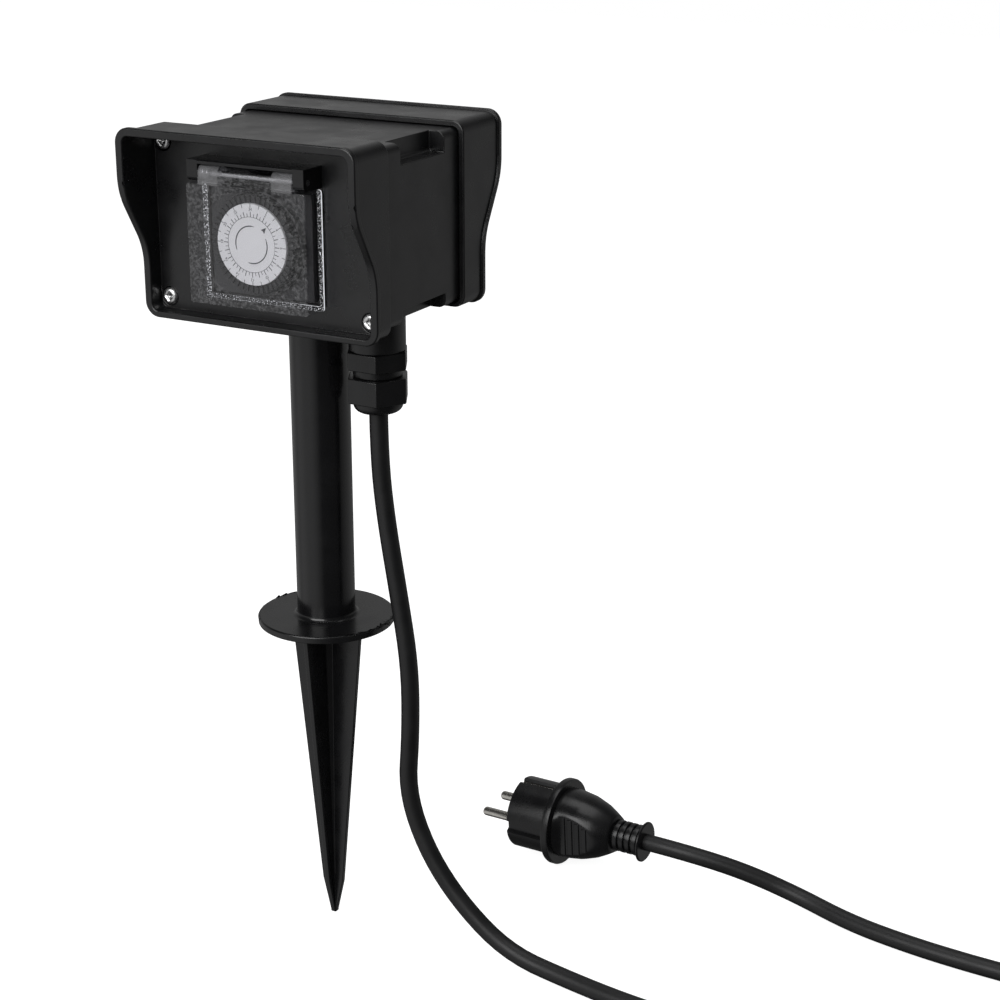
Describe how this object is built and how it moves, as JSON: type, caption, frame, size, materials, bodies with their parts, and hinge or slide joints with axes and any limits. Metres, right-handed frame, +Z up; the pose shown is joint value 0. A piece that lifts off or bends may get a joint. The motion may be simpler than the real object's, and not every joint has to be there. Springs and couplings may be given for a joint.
{
  "type": "outdoor socket timer",
  "caption": "Outdoor socket timer on a ground spike: a hooded box with a clear lidded dial timer, a rear socket and a rubber cord with plug.",
  "frame": {"origin": "middle of the spike disc's underside, at ground level", "axes": "+X to the right along the timer's front, +Y to the back, +Z up along the post"},
  "size_m": [0.4422, 0.2452, 0.4088],
  "materials": {
    "cover_plastic": "satin, fine moulded grain",
    "box_plastic": "satin, fine moulded grain",
    "rubber_seal": "matt",
    "steel": "bright zinc",
    "black_plastic": "satin",
    "clear_plastic": "clear, front face with fine grain",
    "grey_dial_plastic": "light grey, printed marks",
    "tappet_plastic": "satin",
    "gear_plastic": "natural nylon",
    "brass": "nickelled",
    "wire_insulation": "brown, blue, green and yellow",
    "post_plastic": "semi gloss black",
    "cord_rubber": "matt black",
    "plug_rubber": "matt black",
    "tie_plastic": "satin"
  },
  "bodies": {
    "root": {"coil_tie": "tie_plastic", "cord_coil": "cord_rubber", "cord_end": "cord_rubber", "cord_lead": "cord_rubber", "cord_tail": "cord_rubber", "front_cover": "cover_plastic", "front_cover_screws": "steel", "front_gasket": "rubber_seal", "gear_frame": "gear_plastic", "gland_body": "black_plastic", "gland_nut": "black_plastic", "gland_seal": "rubber_seal", "gland_thread_ring": "black_plastic", "ground_spike": "post_plastic", "lid_hinge_bracket": "black_plastic", "lid_hinge_pin": "steel", "lid_seal": "rubber_seal", "lid_spring": "steel", "main_body": "box_plastic", "plug_body": "plug_rubber", "plug_earth_strips": "brass", "plug_pins": "brass", "plug_relief": "plug_rubber", "post_cap": "black_plastic", "post_screw": "steel", "post_tube": "post_plastic", "rear_cover": "cover_plastic", "rear_cover_screws": "steel", "rear_gasket": "rubber_seal", "socket_contacts": "brass", "socket_earth_clip": "brass", "socket_hinge_bracket": "black_plastic", "socket_hinge_pin": "steel", "socket_insert": "black_plastic", "socket_lid_seal": "rubber_seal", "socket_lid_spring": "steel", "socket_wires": "wire_insulation", "supply_wires": "wire_insulation", "terminal_block": "gear_plastic", "terminal_screws": "steel", "timer_case": "black_plastic", "timer_motor": "steel", "timer_plate": "black_plastic", "timer_switch": "black_plastic"},
    "timer_lid_body": {"timer_lid": "clear_plastic"},
    "socket_lid_body": {"socket_lid": "black_plastic"},
    "dial_body": {"timer_dial": "grey_dial_plastic", "dial_hub": "grey_dial_plastic", "dial_shaft": "steel", "dial_gear": "gear_plastic", "tappet_ring": "grey_dial_plastic"},
    "tappet_body": {"tappets": "tappet_plastic"},
    "motor_rotor": {"motor_pinion": "gear_plastic", "motor_shaft": "steel"}
  },
  "joints": [
    {"name": "timer_lid_hinge", "type": "hinge", "parent": "root", "child": "timer_lid_body", "pos_m": [0, -0.052, 0.227], "axis": [-1, 0, 0], "range_deg": [0, 95], "stiffness_Nm_per_rad": 0.012, "springref_deg": -22.92},
    {"name": "socket_lid_hinge", "type": "hinge", "parent": "root", "child": "socket_lid_body", "pos_m": [0, 0.052, 0.227], "axis": [1, 0, 0], "range_deg": [0, 95], "stiffness_Nm_per_rad": 0.02, "springref_deg": -22.92},
    {"name": "dial_turn", "type": "hinge", "parent": "root", "child": "dial_body", "pos_m": [0, -0.052, 0.1967], "axis": [0, 1, 0], "continuous": true},
    {"name": "motor_pinion_turn", "type": "hinge", "parent": "root", "child": "motor_rotor", "pos_m": [0.01389, -0.035, 0.1828], "axis": [0, 1, 0], "continuous": true},
    {"name": "tappet_press", "type": "slide", "parent": "dial_body", "child": "tappet_body", "axis": [0, 1, 0], "range_m": [0, 0.0012]}
  ],
  "couplings": [
    {"joint": "motor_pinion_turn", "follows": "dial_turn", "ratio": -3}
  ]
}
